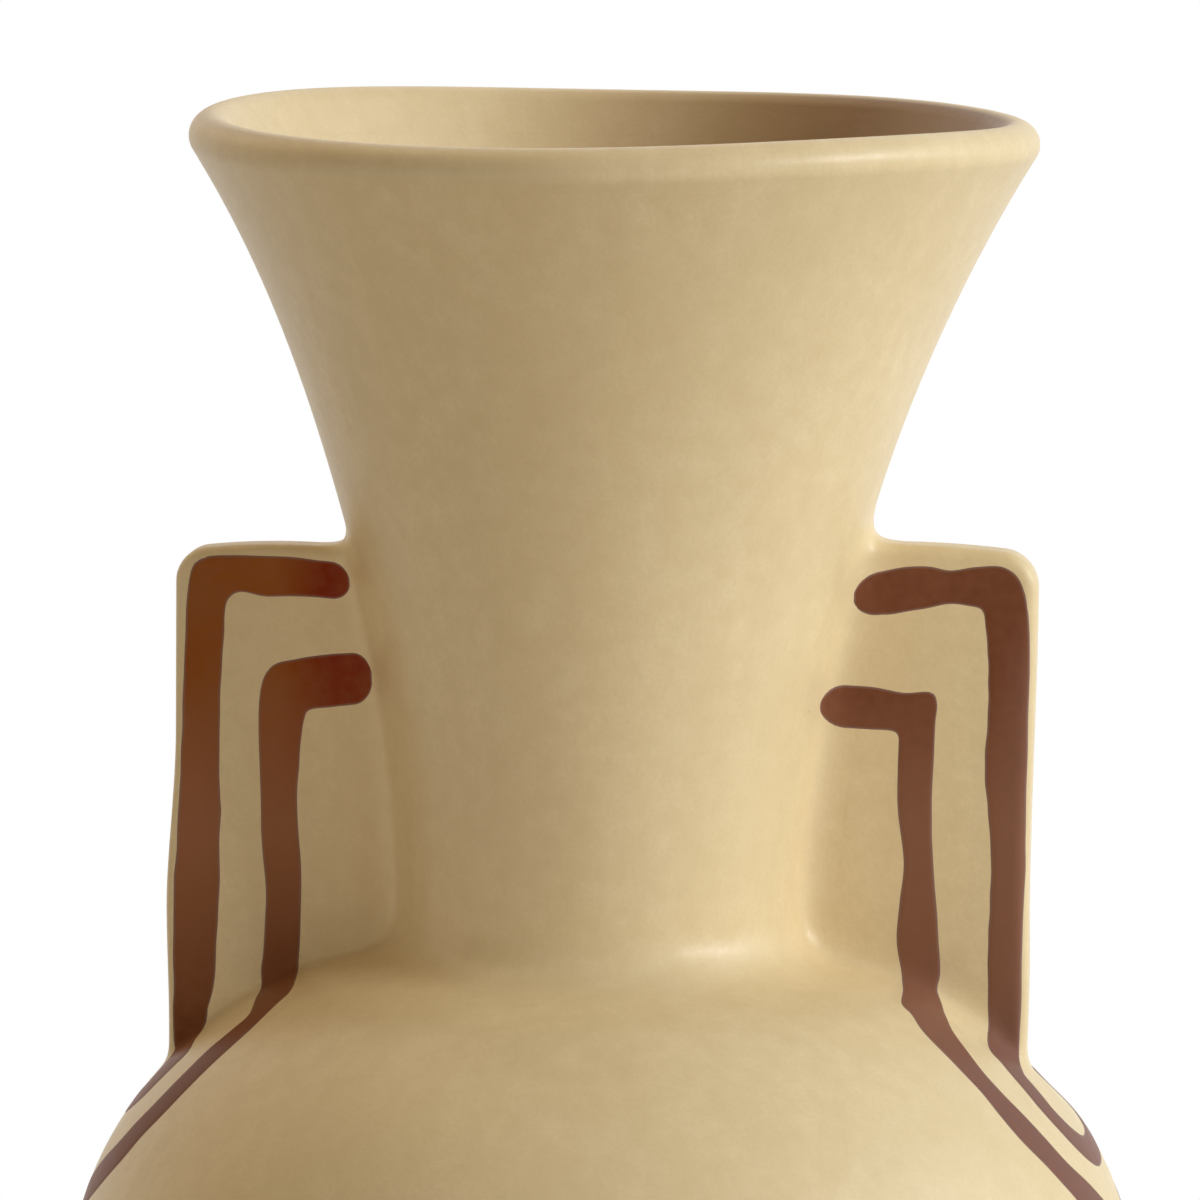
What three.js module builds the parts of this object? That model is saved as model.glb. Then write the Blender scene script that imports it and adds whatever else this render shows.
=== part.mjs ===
// Ceramic vase: thrown sections luted together, two slab handles, painted stripes.
// Millimetres, +Z up, the foot on z = 0, the handles out along +X and -X.
import * as THREE from "three";

const point = (r, z) => new THREE.Vector2(r, z);

// Vessel
const HEIGHT = 305;
const WALL = 7;
const LIP_RADIUS = WALL / 2;
const RIM_RADIUS = 71.7;
const FLARE_ANGLE = THREE.MathUtils.degToRad(33);
const FLARE_LENGTH = 51.5;
const NECK_RADIUS = 34.3;
const NECK_STRAIGHT = 22;
const CREASE_HEIGHT = 165.4;
const CREASE_RISE = 6.6;
const CREASE_WIDTH = 5.7;
const SHOULDER_SLOPE = 0.36;
const SHOULDER_STRAIGHT = 8;
const SHOULDER_SWELL = 41;
const BELLY_RADIUS = 90.4;
const BELLY_HEIGHT = 104.5;
const BOWL_SWELL = 42;
const FOOT_RADIUS = 50;
const FOOT_HEIGHT = 7;
const FOOT_WIDTH = 8;
const FOOT_FLARE = 14;
const FOOT_TAPER = 1;
const FOOT_EASE = 1.5;

// Handles, slabs in the XZ plane
const HANDLE_REACH = 73;
const HANDLE_TOP = 233;
const HANDLE_DROOP = 0.7;
const HANDLE_THICKNESS = 8;
const HANDLE_CORNER = 5;
const HANDLE_ROUND = 1.5;
const ROOT_FILLET = 3.2;
const COIL_EDGE = 0.5;
const FACE = HANDLE_THICKNESS / 2;

// Joints between the thrown sections
const RIM_DEPTH = 7.5;
const COLLAR_RISE = 13;
const TONGUE = 3;
const SLIP_GAP = 0.3;
const RIM_JOINT = HEIGHT - RIM_DEPTH;
const COLLAR_JOINT = HANDLE_TOP + COLLAR_RISE;

// Painted stripes
const GLAZE_THICKNESS = 0.4;
const BAND_WIDTH = 7;
const BAND_MARGIN = 1.4;
const BAND_TOP_MARGIN = 2.8;
const BAND_INDENT = 1;
const BAND_SPACING = 14.4;
const BAND_DROP = 19;
const STRIPE_WIDTH = 5.5;
const STRIPE_CLEARANCE = 0.65;
const STRIPE_LAG = 2.25;
const OUTER_STRIPE_DROP = 16;
const OUTER_STRIPE_BULGE = 3.9;
const INNER_STRIPE_DROP = 43;
const INNER_STRIPE_BULGE = 21.9;

// Facets of a full turn, and curve steps of each stretch of the outline
const SEGMENTS = 40;
const STEPS = { bowl: 7, shoulder: 10, crease: 3, neck: 11, lip: 10, stripe: 14 };

const cream = new THREE.MeshStandardMaterial({ color: 0xd9c497, roughness: 0.45, metalness: 0 });
const brown = new THREE.MeshStandardMaterial({ color: 0x683c28, roughness: 0.4, metalness: 0 });

const group = new THREE.Group();
function add(name, geometry, material) {
  const mesh = new THREE.Mesh(geometry, material);
  mesh.name = name;
  group.add(mesh);
}

// Outer outline of the vessel, from the foot up to the lip
const lipCentre = point(RIM_RADIUS - LIP_RADIUS, HEIGHT - LIP_RADIUS);
const flareUp = point(Math.sin(FLARE_ANGLE), Math.cos(FLARE_ANGLE));
const flareOut = point(flareUp.y, -flareUp.x);
const flareTop = lipCentre.clone().addScaledVector(flareOut, LIP_RADIUS);
const footTop = point(FOOT_RADIUS, FOOT_HEIGHT);
const belly = point(BELLY_RADIUS, BELLY_HEIGHT);
const crease = point(NECK_RADIUS + CREASE_WIDTH, CREASE_HEIGHT);
const neckFoot = point(NECK_RADIUS, CREASE_HEIGHT + CREASE_RISE);
const neckCorner = point(NECK_RADIUS, CREASE_HEIGHT + SHOULDER_SLOPE * CREASE_WIDTH);
const bowlCurve = new THREE.CubicBezierCurve(
  footTop,
  point(FOOT_RADIUS + FOOT_FLARE, FOOT_HEIGHT + FOOT_FLARE / 2),
  point(BELLY_RADIUS, BELLY_HEIGHT - BOWL_SWELL),
  belly,
);
const shoulderCurve = new THREE.CubicBezierCurve(
  belly,
  point(BELLY_RADIUS, BELLY_HEIGHT + SHOULDER_SWELL),
  point(crease.x + SHOULDER_STRAIGHT, crease.y - SHOULDER_STRAIGHT * SHOULDER_SLOPE),
  crease,
);
const creaseCurve = new THREE.QuadraticBezierCurve(crease, neckCorner, neckFoot);
const neckCurve = new THREE.CubicBezierCurve(
  neckFoot,
  point(NECK_RADIUS, neckFoot.y + NECK_STRAIGHT),
  flareTop.clone().addScaledVector(flareUp, -FLARE_LENGTH),
  flareTop,
);

// Samples of a curve, each with its outward normal
function sampled(curve, steps) {
  return Array.from({ length: steps + 1 }, (_, i) => {
    const along = curve.getTangent(i / steps);
    return { at: curve.getPoint(i / steps), normal: point(along.y, -along.x) };
  });
}
const shoulderOutline = sampled(shoulderCurve, STEPS.shoulder);
const outline = [
  ...sampled(bowlCurve, STEPS.bowl),
  ...shoulderOutline.slice(1),
  ...sampled(creaseCurve, STEPS.crease).slice(1),
  ...sampled(neckCurve, STEPS.neck).slice(1),
];

// An outline moved out by a distance, or in when the distance is negative
function moved(samples, distance) {
  return samples.map((s) => s.at.clone().addScaledVector(s.normal, distance));
}
const skin = moved(outline, 0);
const lining = moved(outline, -WALL);

// Reads one coordinate of a line where the other has a given value
function readLine(line, known, wanted, value) {
  for (let i = 1; i < line.length; i++) {
    const a = line[i - 1];
    const b = line[i];
    if (a[known] !== b[known] && (a[known] - value) * (b[known] - value) <= 0) {
      return THREE.MathUtils.mapLinear(value, a[known], b[known], a[wanted], b[wanted]);
    }
  }
  throw new Error("the line has no point at " + value);
}
const radiusAt = (line, z) => readLine(line, "y", "x", z);
const shoulderHeight = (distance, r) => readLine(moved(shoulderOutline, distance), "x", "y", r);

// The stretch of a line between two heights, both ends included
function between(line, low, high) {
  const inside = line.filter((p) => p.y > low + 0.05 && p.y < high - 0.05);
  return [point(radiusAt(line, low), low), ...inside, point(radiusAt(line, high), high)];
}

// A profile of radius and height turned about Z
function turned(profile) {
  return new THREE.LatheGeometry(profile, SEGMENTS).rotateX(Math.PI / 2);
}
const closed = (profile) => [...profile, profile[0].clone()];

// A joint: the lower section's tongue stands inside the upper section's rebate
const midWall = (z) => (radiusAt(skin, z) + radiusAt(lining, z)) / 2;
function tongue(z) {
  const r = midWall(z) - SLIP_GAP / 2;
  return [point(r, z), point(r, z + TONGUE)];
}
function rebate(z) {
  const r = midWall(z) + SLIP_GAP / 2;
  return [point(r, z + TONGUE), point(r, z)];
}

// A thrown section between two joints, with a tongue at its top unless it ends flat
function section(low, high, flatTop) {
  const innerTop = flatTop ? high : high + TONGUE;
  return turned(
    closed([
      ...between(skin, low, high),
      ...(flatTop ? [] : tongue(high)),
      ...between(lining, low + TONGUE, innerTop).reverse(),
      ...rebate(low),
    ]),
  );
}

// Foot ring with eased treading edges
const footInner = FOOT_RADIUS - FOOT_WIDTH;
add(
  "foot_ring",
  turned(
    closed([
      point(footInner + FOOT_EASE, 0),
      point(FOOT_RADIUS - FOOT_TAPER - FOOT_EASE, 0),
      point(FOOT_RADIUS - FOOT_TAPER, FOOT_EASE),
      point(FOOT_RADIUS, FOOT_HEIGHT),
      point(footInner, FOOT_HEIGHT),
      point(footInner, FOOT_EASE),
    ]),
  ),
  cream,
);

// Lower bowl, its floor closed on the axis
const floorTop = lining[0].y;
add(
  "lower_bowl",
  turned([
    point(0, FOOT_HEIGHT),
    ...between(skin, FOOT_HEIGHT, BELLY_HEIGHT),
    ...tongue(BELLY_HEIGHT),
    ...between(lining, floorTop, BELLY_HEIGHT + TONGUE).reverse(),
    point(0, floorTop),
  ]),
  cream,
);
add("shoulder_dome", section(BELLY_HEIGHT, neckFoot.y, false), cream);
add("neck_tube", section(neckFoot.y, COLLAR_JOINT, false), cream);
add("flared_collar", section(COLLAR_JOINT, RIM_JOINT, true), cream);

// Rolled rim, round over the lip
const lip = Array.from({ length: STEPS.lip - 1 }, (_, i) => {
  const a = ((i + 1) / STEPS.lip) * Math.PI - FLARE_ANGLE;
  return point(lipCentre.x + LIP_RADIUS * Math.cos(a), lipCentre.y + LIP_RADIUS * Math.sin(a));
});
add(
  "rim_coil",
  turned(
    closed([
      ...between(skin, RIM_JOINT, flareTop.y),
      ...lip,
      ...between(lining, RIM_JOINT, lining.at(-1).y).reverse(),
    ]),
  ),
  cream,
);

// Cap triangles of a flat contour, in the contour's own sense
function capFaces(contour) {
  const sense = (shape) => Math.sign(THREE.ShapeUtils.area(shape));
  const whole = sense(contour);
  return THREE.ShapeUtils.triangulateShape(contour, []).map((t) =>
    sense(t.map((i) => contour[i])) === whole ? t : [t[0], t[2], t[1]],
  );
}

// A solid from rings of points: each ring joined to the next, both end rings capped
function lofted(rings, contour) {
  const n = rings[0].length;
  const last = (rings.length - 1) * n;
  const caps = capFaces(contour);
  const faces = [];
  for (let k = 0; k < last; k += n) {
    for (let i = 0; i < n; i++) {
      const a = k + i;
      const b = k + ((i + 1) % n);
      faces.push([a, b, b + n], [a, b + n, a + n]);
    }
  }
  caps.forEach((t) => faces.push([t[0], t[2], t[1]], t.map((i) => last + i)));
  return facedOut(new THREE.BufferGeometry().setFromPoints(rings.flat()).setIndex(faces.flat()));
}

// Turns every face round when the solid is inside out
function facedOut(geometry) {
  const position = geometry.getAttribute("position");
  const index = geometry.index.array;
  const corner = (i) => new THREE.Vector3().fromBufferAttribute(position, index[i]);
  let volume = 0;
  for (let i = 0; i < index.length; i += 3) {
    volume += corner(i).dot(corner(i + 1).cross(corner(i + 2)));
  }
  if (volume < 0) {
    for (let i = 0; i < index.length; i += 3) {
      [index[i + 1], index[i + 2]] = [index[i + 2], index[i + 1]];
    }
  }
  geometry.computeVertexNormals();
  return geometry;
}

// Handle outline: down the root along the vessel, then round the free edges back to the neck
function handleOutline() {
  const rootLine = moved(outline, SLIP_GAP);
  const toeRadius = HANDLE_REACH + ROOT_FILLET;
  const toe = point(toeRadius, shoulderHeight(SLIP_GAP, toeRadius));
  const edgeFoot = shoulderHeight(SLIP_GAP, HANDLE_REACH);
  const cornerTop = HANDLE_TOP - HANDLE_DROOP;
  const rootTop = HANDLE_TOP + ROOT_FILLET;
  const topInner = radiusAt(rootLine, HANDLE_TOP);
  const foot = new THREE.QuadraticBezierCurve(
    toe,
    point(HANDLE_REACH, edgeFoot),
    point(HANDLE_REACH, edgeFoot + 1.5 * ROOT_FILLET),
  );
  const corner = new THREE.QuadraticBezierCurve(
    point(HANDLE_REACH, cornerTop - HANDLE_CORNER),
    point(HANDLE_REACH, cornerTop),
    point(HANDLE_REACH - HANDLE_CORNER, cornerTop),
  );
  const top = new THREE.QuadraticBezierCurve(
    point(topInner + ROOT_FILLET, HANDLE_TOP),
    point(topInner, HANDLE_TOP),
    point(radiusAt(rootLine, rootTop), rootTop),
  );
  const rounded = (curve, t, share) => ({ at: curve.getPoint(t), inset: share * HANDLE_ROUND });
  return [
    ...between(rootLine, toe.y, rootTop).reverse().map((at) => ({ at, inset: 0 })),
    ...[0.35, 0.6, 0.8, 1].map((t) => rounded(foot, t, (t - 0.35) / 0.65)),
    ...[0, 0.25, 0.5, 0.75, 1].map((t) => rounded(corner, t, 1)),
    ...[0, 0.2, 0.4, 0.65].map((t) => rounded(top, t, (0.65 - t) / 0.65)),
  ];
}

// The outline with each point drawn in by a share of its inset
function drawnIn(points, share) {
  const n = points.length;
  return points.map(({ at, inset }, i) => {
    const before = points[(i + n - 1) % n].at;
    const after = points[(i + 1) % n].at;
    const along = after.clone().sub(before).normalize();
    return at.clone().addScaledVector(point(-along.y, along.x), inset * share);
  });
}

// Slab with rounded edges: full size in the middle, drawn in towards both faces
function handle(side) {
  const points = handleOutline();
  const soft = 1 - Math.SQRT1_2;
  const layers = [
    [FACE, 1],
    [FACE - HANDLE_ROUND * soft, soft],
    [FACE - HANDLE_ROUND, 0],
  ];
  const back = layers.map(([y, share]) => [-y, share]).reverse();
  const rings = [...layers, ...back].map(([y, share]) =>
    drawnIn(points, share).map((p) => new THREE.Vector3(side * p.x, y, p.y)),
  );
  return lofted(rings, drawnIn(points, 1));
}

// Luting coil: a hollow fillet of clay in one root corner, from the handle's top to its outer foot
function lutingCoil(side, face) {
  const low = SLIP_GAP + COIL_EDGE;
  const hollow = new THREE.QuadraticBezierCurve(
    point(low, ROOT_FILLET),
    point(low, COIL_EDGE),
    point(ROOT_FILLET, COIL_EDGE),
  );
  const contour = [
    point(ROOT_FILLET, 0),
    point(SLIP_GAP, 0),
    point(SLIP_GAP, ROOT_FILLET),
    ...hollow.getPoints(3),
  ];
  const stretch = outline.filter(
    ({ at }) =>
      at.y > BELLY_HEIGHT && at.y < HANDLE_TOP - HANDLE_ROUND && at.x < HANDLE_REACH - HANDLE_ROUND,
  );
  const rings = stretch.map(({ at, normal }) =>
    contour.map((c) => {
      const r = at.x + c.x * normal.x;
      const y = FACE + c.y;
      return new THREE.Vector3(side * Math.sqrt(r * r - y * y), face * y, at.y + c.x * normal.y);
    }),
  );
  return lofted(rings, contour);
}

// Painted band on a handle face: in from the neck, round the corner and down to the shoulder
function band(side, face, centre, height) {
  const half = BAND_WIDTH / 2;
  const clear = ROOT_FILLET + SLIP_GAP;
  const start = radiusAt(moved(outline, clear), height) + half + BAND_INDENT;
  const inner = centre - half;
  const outer = centre + half;
  const corner = HANDLE_CORNER - BAND_MARGIN;
  const drawn = new THREE.Shape();
  drawn.absarc(start, height, half, -Math.PI / 2, Math.PI / 2, true);
  drawn.absarc(outer - corner, height + half - corner, corner, Math.PI / 2, 0, true);
  drawn.lineTo(outer, shoulderHeight(clear, outer));
  drawn.lineTo(inner, shoulderHeight(clear, inner));
  drawn.lineTo(inner, height - half);
  const shape = new THREE.Shape(drawn.getPoints(8).map((p) => point(side * p.x, p.y)));
  const plate = new THREE.ExtrudeGeometry(shape, { depth: GLAZE_THICKNESS, bevelEnabled: false });
  plate.rotateX(Math.PI / 2);
  return plate.translate(0, face < 0 ? -FACE : FACE + GLAZE_THICKNESS, 0);
}

// Painted stripe on the shoulder: from a band's foot at the front down to a point and back up behind
function stripe(side, centre, drop, bulge) {
  const top = shoulderHeight(0, centre) - STRIPE_LAG;
  const start = FACE + ROOT_FILLET + STRIPE_CLEARANCE + STRIPE_WIDTH / 2;
  const half = new THREE.CubicBezierCurve(
    point(-start, top),
    point(-start - bulge, top - 0.12 * drop),
    point(-start - bulge, top - 0.67 * drop),
    point(0, top - drop),
  ).getPoints(STEPS.stripe);
  const mirrored = half.slice(0, -1).map((p) => point(-p.x, p.y));
  const path = [...half, ...mirrored.reverse()];
  const under = moved(outline, SLIP_GAP);
  const over = moved(outline, SLIP_GAP + GLAZE_THICKNESS);
  const onLine = (line, y, z) => {
    const r = radiusAt(line, z);
    return new THREE.Vector3(side * Math.sqrt(r * r - y * y), y, z);
  };
  const spine = path.map((p) => onLine(skin, p.x, p.y));
  const rings = spine.map((p, i) => {
    const before = spine[Math.max(i - 1, 0)];
    const after = spine[Math.min(i + 1, spine.length - 1)];
    const along = after.clone().sub(before);
    const out = new THREE.Vector3(p.x, p.y, p.z - BELLY_HEIGHT);
    const across = along.cross(out).setLength(STRIPE_WIDTH / 2);
    const left = p.clone().add(across);
    const right = p.clone().sub(across);
    return [
      onLine(under, left.y, left.z),
      onLine(under, right.y, right.z),
      onLine(over, right.y, right.z),
      onLine(over, left.y, left.z),
    ];
  });
  return lofted(rings, [point(0, 0), point(1, 0), point(1, 1), point(0, 1)]);
}

// Both handles, with the coils, bands and stripes of each
const outerCentre = HANDLE_REACH - BAND_MARGIN - BAND_WIDTH / 2;
const innerCentre = outerCentre - BAND_SPACING;
const outerHeight = HANDLE_TOP - HANDLE_DROOP - BAND_TOP_MARGIN - BAND_WIDTH / 2;
const innerHeight = outerHeight - BAND_DROP;
const outerStripe = (side) => stripe(side, outerCentre, OUTER_STRIPE_DROP, OUTER_STRIPE_BULGE);
const innerStripe = (side) => stripe(side, innerCentre, INNER_STRIPE_DROP, INNER_STRIPE_BULGE);
for (const [sideName, side] of [["left", -1], ["right", 1]]) {
  add("handle_" + sideName, handle(side), cream);
  for (const [faceName, face] of [["front", -1], ["back", 1]]) {
    const where = sideName + "_" + faceName;
    add("luting_coil_" + where, lutingCoil(side, face), cream);
    add("band_outer_" + where, band(side, face, outerCentre, outerHeight), brown);
    add("band_inner_" + where, band(side, face, innerCentre, innerHeight), brown);
  }
  add("stripe_outer_" + sideName, outerStripe(side), brown);
  add("stripe_inner_" + sideName, innerStripe(side), brown);
}

export default group;
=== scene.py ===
import math

import bpy
import numpy as np
from mathutils import Matrix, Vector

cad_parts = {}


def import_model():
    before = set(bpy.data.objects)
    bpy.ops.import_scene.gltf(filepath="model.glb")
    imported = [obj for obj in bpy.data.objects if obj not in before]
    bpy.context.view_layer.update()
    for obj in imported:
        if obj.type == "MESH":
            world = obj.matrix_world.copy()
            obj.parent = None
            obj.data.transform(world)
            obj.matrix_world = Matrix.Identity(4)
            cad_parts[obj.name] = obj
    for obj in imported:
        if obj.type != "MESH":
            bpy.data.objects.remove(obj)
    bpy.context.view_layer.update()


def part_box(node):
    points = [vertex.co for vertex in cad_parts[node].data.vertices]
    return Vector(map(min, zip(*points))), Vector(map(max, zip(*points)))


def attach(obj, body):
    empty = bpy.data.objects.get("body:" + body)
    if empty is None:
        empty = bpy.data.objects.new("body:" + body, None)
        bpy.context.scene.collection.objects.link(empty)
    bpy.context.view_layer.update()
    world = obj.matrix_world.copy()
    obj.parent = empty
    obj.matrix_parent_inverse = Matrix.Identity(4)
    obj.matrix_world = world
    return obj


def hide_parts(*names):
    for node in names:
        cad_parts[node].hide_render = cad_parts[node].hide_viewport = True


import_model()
MM = 0.001


# Sizes read from the frame
def low(node):
    return round(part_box(node)[0].z / MM, 1)


def high(node):
    return round(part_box(node)[1].z / MM, 1)


def radius(node):
    return round(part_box(node)[1].x / MM, 1)


HEIGHT = high("rim_coil")
RIM_RADIUS = radius("rim_coil")
RIM_JOINT = low("rim_coil")
COLLAR_JOINT = low("flared_collar")
NECK_FOOT = low("neck_tube")
BELLY_HEIGHT = low("shoulder_dome")
BELLY_RADIUS = radius("shoulder_dome")
FOOT_HEIGHT = high("foot_ring")
FOOT_RADIUS = radius("foot_ring")

# Shape of the outline
WALL = 7
LIP_RADIUS = 3.8
LIP_INSET = 0.5
FLARE_ANGLE = math.radians(31.7)
FLARE_LENGTH = 53.3
NECK_RADIUS = 33.9
NECK_STRAIGHT = 21.7
CREASE_RISE = 6.6
CREASE_WIDTH = 6.1
CREASE_TOP = 2
SHOULDER_SLOPE = 0.36
SHOULDER_STRAIGHT = 8
SHOULDER_SWELL = 40.4
BOWL_SWELL = 42
FOOT_FLARE = 14
FOOT_WIDTH = 8
FOOT_TAPER = 1
FOOT_EASE = 1.5
UNDERSIDE_INSET = 1
FLOOR_INSET = 0.5

# How far the foot of the neck is sunk, and where the sinking fades out
NECK_SINK = 2.2
SINK_LOWEST = 140
SINK_OUTWARD = (56, 16)
SINK_UPWARD = (200, 26)

# Handles. A pair is a place and the length over which one size passes into another.
FACE = 4
EDGE_ROUND = 2
ROOT_DEPTH = 1.5
FILLET = 7
TOE_HEIGHT = (166, 20)
TOE_FILLET_REACH = (64, 9)
TOE_FILLET_HEIGHT = (175, 10)
TOP_FILLET_HEIGHT = (216, 16)

# Fineness of the meshes
SEGMENTS = 288
BOWL_STEPS = 70
SHOULDER_STEPS = 90
CREASE_STEPS = 16
NECK_STEPS = 120
LIP_STEPS = 26
FLAT_STEPS = 12
FOOT_STEPS = 8
TREAD_STEPS = 6
SUPPORT = 0.03
CELL = 0.6
STROKE_STEP = 0.6
NET_ROUNDS = 5
SHOULDER_ROUNDS = 12
STROKE_ROUNDS = 8


def smooth(t):
    t = np.clip(t, 0, 1)
    return t * t * (3 - 2 * t)


def rising(value, start, length):
    return smooth((value - start) / length)


def falling(value, end, length):
    return smooth((end - value) / length)


# Outline of the vessel
def bezier(points, count):
    t = np.linspace(0, 1, count + 1)[:, None]
    layer = [np.array(p, float) for p in points]
    while len(layer) > 1:
        layer = [(1 - t) * a + t * b for a, b in zip(layer, layer[1:])]
    return layer[0]


FLARE_UP = np.array([math.sin(FLARE_ANGLE), math.cos(FLARE_ANGLE)])
FLARE_OUT = np.array([FLARE_UP[1], -FLARE_UP[0]])
LIP_CENTRE = np.array([RIM_RADIUS - LIP_INSET - LIP_RADIUS, HEIGHT - LIP_RADIUS])


def vessel_outline():
    flare_top = LIP_CENTRE + LIP_RADIUS * FLARE_OUT
    foot = (FOOT_RADIUS, FOOT_HEIGHT)
    belly = (BELLY_RADIUS, BELLY_HEIGHT)
    crease = (NECK_RADIUS + CREASE_WIDTH, NECK_FOOT - CREASE_RISE)
    corner = (NECK_RADIUS, crease[1] + SHOULDER_SLOPE * CREASE_WIDTH)
    neck = (NECK_RADIUS, NECK_FOOT + CREASE_TOP)
    bowl = [
        foot,
        (foot[0] + FOOT_FLARE, foot[1] + FOOT_FLARE / 2),
        (belly[0], belly[1] - BOWL_SWELL),
        belly,
    ]
    shoulder = [
        belly,
        (belly[0], belly[1] + SHOULDER_SWELL),
        (crease[0] + SHOULDER_STRAIGHT, crease[1] - SHOULDER_STRAIGHT * SHOULDER_SLOPE),
        crease,
    ]
    trumpet = [
        neck,
        (neck[0], neck[1] + NECK_STRAIGHT),
        flare_top - FLARE_LENGTH * FLARE_UP,
        flare_top,
    ]
    r, z = np.vstack([
        bezier(bowl, BOWL_STEPS),
        bezier(shoulder, SHOULDER_STEPS)[1:],
        bezier([crease, corner, neck], CREASE_STEPS)[1:],
        bezier(trumpet, NECK_STEPS)[1:],
    ]).T
    sink = NECK_SINK * falling(r, *SINK_OUTWARD) * falling(z, *SINK_UPWARD) * (z > SINK_LOWEST)
    return np.stack([r, z - sink], 1)


SKIN = vessel_outline()
along = np.gradient(SKIN, axis=0)
SKIN_NORMAL = np.stack([along[:, 1], -along[:, 0]], 1)
SKIN_NORMAL /= np.linalg.norm(SKIN_NORMAL, axis=1, keepdims=True)
wall = WALL + (2 * LIP_RADIUS - WALL) * rising(SKIN[:, 1], COLLAR_JOINT, RIM_JOINT - COLLAR_JOINT)
LINING = SKIN - wall[:, None] * SKIN_NORMAL


# Signed distance to the vessel's skin, kept in a table of radius and height
TABLE_STEP = 0.4
TABLE_LOW = np.array([20, 100])
TABLE_HIGH = np.array([104, 290])
TABLE_MARGIN = 1.001


def distance_table():
    r = np.arange(TABLE_LOW[0], TABLE_HIGH[0] + TABLE_STEP, TABLE_STEP)
    z = np.arange(TABLE_LOW[1], TABLE_HIGH[1] + TABLE_STEP, TABLE_STEP)
    table = np.zeros((len(r), len(z)))
    rows = np.arange(len(z))
    for i, radius_here in enumerate(r):
        offset = np.stack([np.full(len(z), radius_here), z], 1)[:, None] - SKIN[None]
        near = (offset**2).sum(2).argmin(1)
        table[i] = (offset[rows, near] * SKIN_NORMAL[near]).sum(1)
    return table


DISTANCE = distance_table()


def vessel(p):
    flat = np.stack([np.hypot(p[:, 0], p[:, 1]), p[:, 2]], 1)
    last = np.array(DISTANCE.shape) - TABLE_MARGIN
    cell = np.clip((flat - TABLE_LOW) / TABLE_STEP, 0, last)
    i, j = cell.astype(int).T
    u, v = (cell - cell.astype(int)).T
    lower = DISTANCE[i, j] * (1 - u) + DISTANCE[i + 1, j] * u
    upper = DISTANCE[i, j + 1] * (1 - u) + DISTANCE[i + 1, j + 1] * u
    return lower * (1 - v) + upper * v


# Distance to a square corner with a rounded edge, from the distances to its two sides
def rounded(a, b, size):
    a, b = a + size, b + size
    return np.hypot(np.maximum(a, 0), np.maximum(b, 0)) + np.minimum(np.maximum(a, b), 0) - size


# How a fillet is sunk at its feather edge, beyond it and past the middle of the slab, and where it ends
FEATHER_SINK = 0.004
FEATHER_START = 0.85
FEATHER_WIDTH = 0.15
BEYOND_SINK = 0.2
BEYOND_WIDTH = 1.5
MIDDLE_SINK = 0.05
MIDDLE_FADE = (-0.3, 1.3)
COIL_MARGIN = 1.2


# A handle: a slab with rounded edges whose root melts into the vessel
class Handle:
    def __init__(self, name, side, top, crown, reach, swell, toe, corner, top_fillet, toe_fillet):
        self.name = name
        self.side = side
        self.top, self.crown_at, self.crown = top, *crown
        self.reach = reach
        self.swell, self.swell_top, self.swell_length = swell
        self.toe = toe
        self.corner = corner
        self.top_fillet = top_fillet
        self.toe_fillet = toe_fillet

    def slab(self, p):
        x = self.side * p[:, 0]
        z = p[:, 2]
        reach = self.reach + self.swell * falling(z, self.swell_top, self.swell_length)
        reach = reach + self.toe * falling(z, *TOE_HEIGHT)
        top = self.top - self.crown * (x - self.crown_at) ** 2
        flat = rounded(x - reach, z - top, self.corner)
        return rounded(flat, np.abs(p[:, 1]) - FACE, EDGE_ROUND)

    # Size of the fillet: small round the toe, large under the top
    def fillet(self, p):
        at_toe = rising(np.abs(p[:, 0]), *TOE_FILLET_REACH) * falling(p[:, 2], *TOE_FILLET_HEIGHT)
        size = FILLET + (self.toe_fillet - FILLET) * at_toe
        return size + (self.top_fillet - size) * rising(p[:, 2], *TOP_FILLET_HEIGHT)

    # The slab and the vessel blended into one surface
    def surface(self, p):
        slab = self.slab(p)
        skin = vessel(p)
        size = self.fillet(p)
        share = np.maximum(size - np.abs(slab - skin), 0) / size
        return np.minimum(slab, skin) - share**3 * size / 6

    # The slab alone, ending just under the vessel's skin
    def core(self, p):
        return np.maximum(self.slab(p), -ROOT_DEPTH - vessel(p))

    # The fillet on one face
    def coil(self, p, face):
        slab = self.slab(p)
        skin = vessel(p)
        size = self.fillet(p)
        spread = np.abs(slab - skin)
        middle = -face * p[:, 1]
        sunk = (
            self.surface(p)
            + FEATHER_SINK * rising(spread, FEATHER_START * size, FEATHER_WIDTH * size)
            + BEYOND_SINK * rising(spread, size, BEYOND_WIDTH)
            + MIDDLE_SINK * rising(middle, *MIDDLE_FADE)
        )
        limits = [
            sunk,
            -ROOT_DEPTH - skin,
            -ROOT_DEPTH - slab,
            spread - size - COIL_MARGIN,
            middle - COIL_MARGIN,
        ]
        return np.max(limits, axis=0)


HANDLES = [
    Handle("left", -1, top=231.9, crown=(54, 0.0042), reach=72.8, swell=(1.57, 200, 32), toe=-0.15,
           corner=5, top_fillet=8, toe_fillet=2.6),
    Handle("right", 1, top=234.1, crown=(50.8, 0.0032), reach=72.7, swell=(-0.74, 226, 50), toe=-0.5,
           corner=5.6, top_fillet=9, toe_fillet=2.8),
]
HANDLE_LOW = np.array([24, -16, 126])
HANDLE_HIGH = np.array([84, 16, 252])

SLOPE_STEP = 0.02
LEAST_SLOPE = 0.2


# Direction in which a field grows
def slope(field, p):
    parts = []
    for axis in np.eye(3):
        parts.append((field(p + SLOPE_STEP * axis) - field(p - SLOPE_STEP * axis)) / (2 * SLOPE_STEP))
    return np.stack(parts, 1)


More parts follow.
